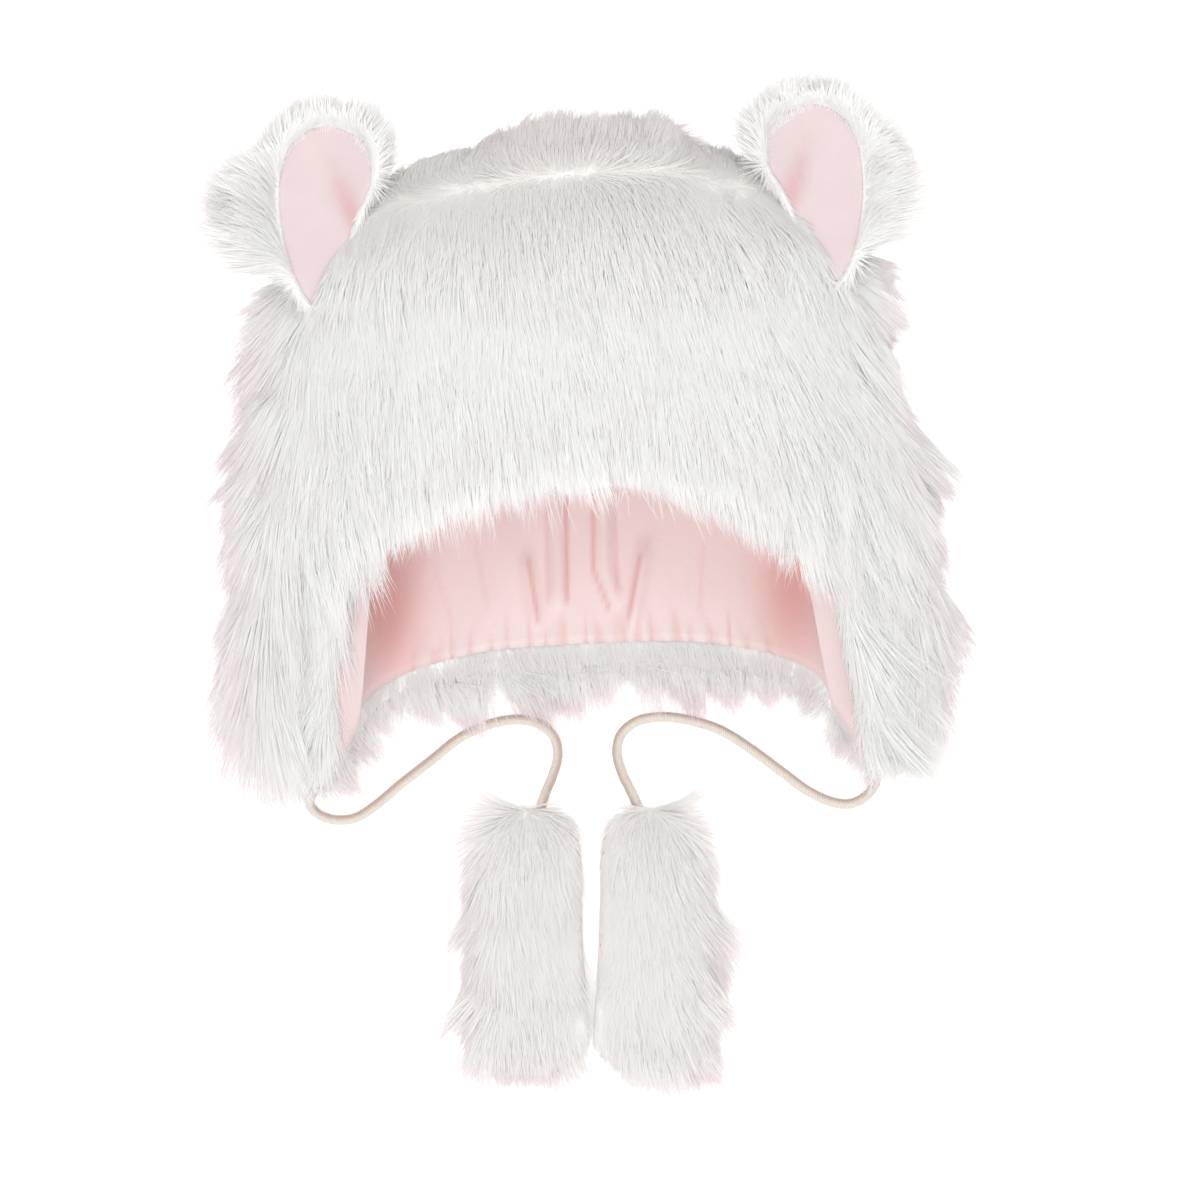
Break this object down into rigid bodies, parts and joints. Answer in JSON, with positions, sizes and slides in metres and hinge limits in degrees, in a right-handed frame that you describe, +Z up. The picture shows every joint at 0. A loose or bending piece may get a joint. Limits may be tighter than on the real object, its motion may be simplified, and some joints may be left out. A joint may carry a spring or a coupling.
{
  "type": "plush cat hat",
  "caption": "Long-pile plush hat with cat ears, ear flaps and a pink lining, lying on its back, with cords that end in flat plush tassels.",
  "frame": {"origin": "on the surface that the hat lies on, under the middle of the hat without its cords and tassels", "axes": "+Z up, out of the face opening; +Y towards the crown and the ears; +X to the right of a viewer who looks down on the opening with the ears away"},
  "size_m": [0.3146, 0.43, 0.139],
  "materials": {
    "plush": "matte long pile",
    "lining": "matte short plush",
    "ear_panel": "matte short plush",
    "cord": "matte knitted cord"
  },
  "bodies": {
    "root": {"fur_shell": "plush", "lining": "lining", "left_ear_fur": "plush", "right_ear_fur": "plush", "left_ear_panel": "ear_panel", "right_ear_panel": "ear_panel", "left_cord": "cord", "right_cord": "cord", "left_tassel": "plush", "right_tassel": "plush"}
  },
  "joints": []
}
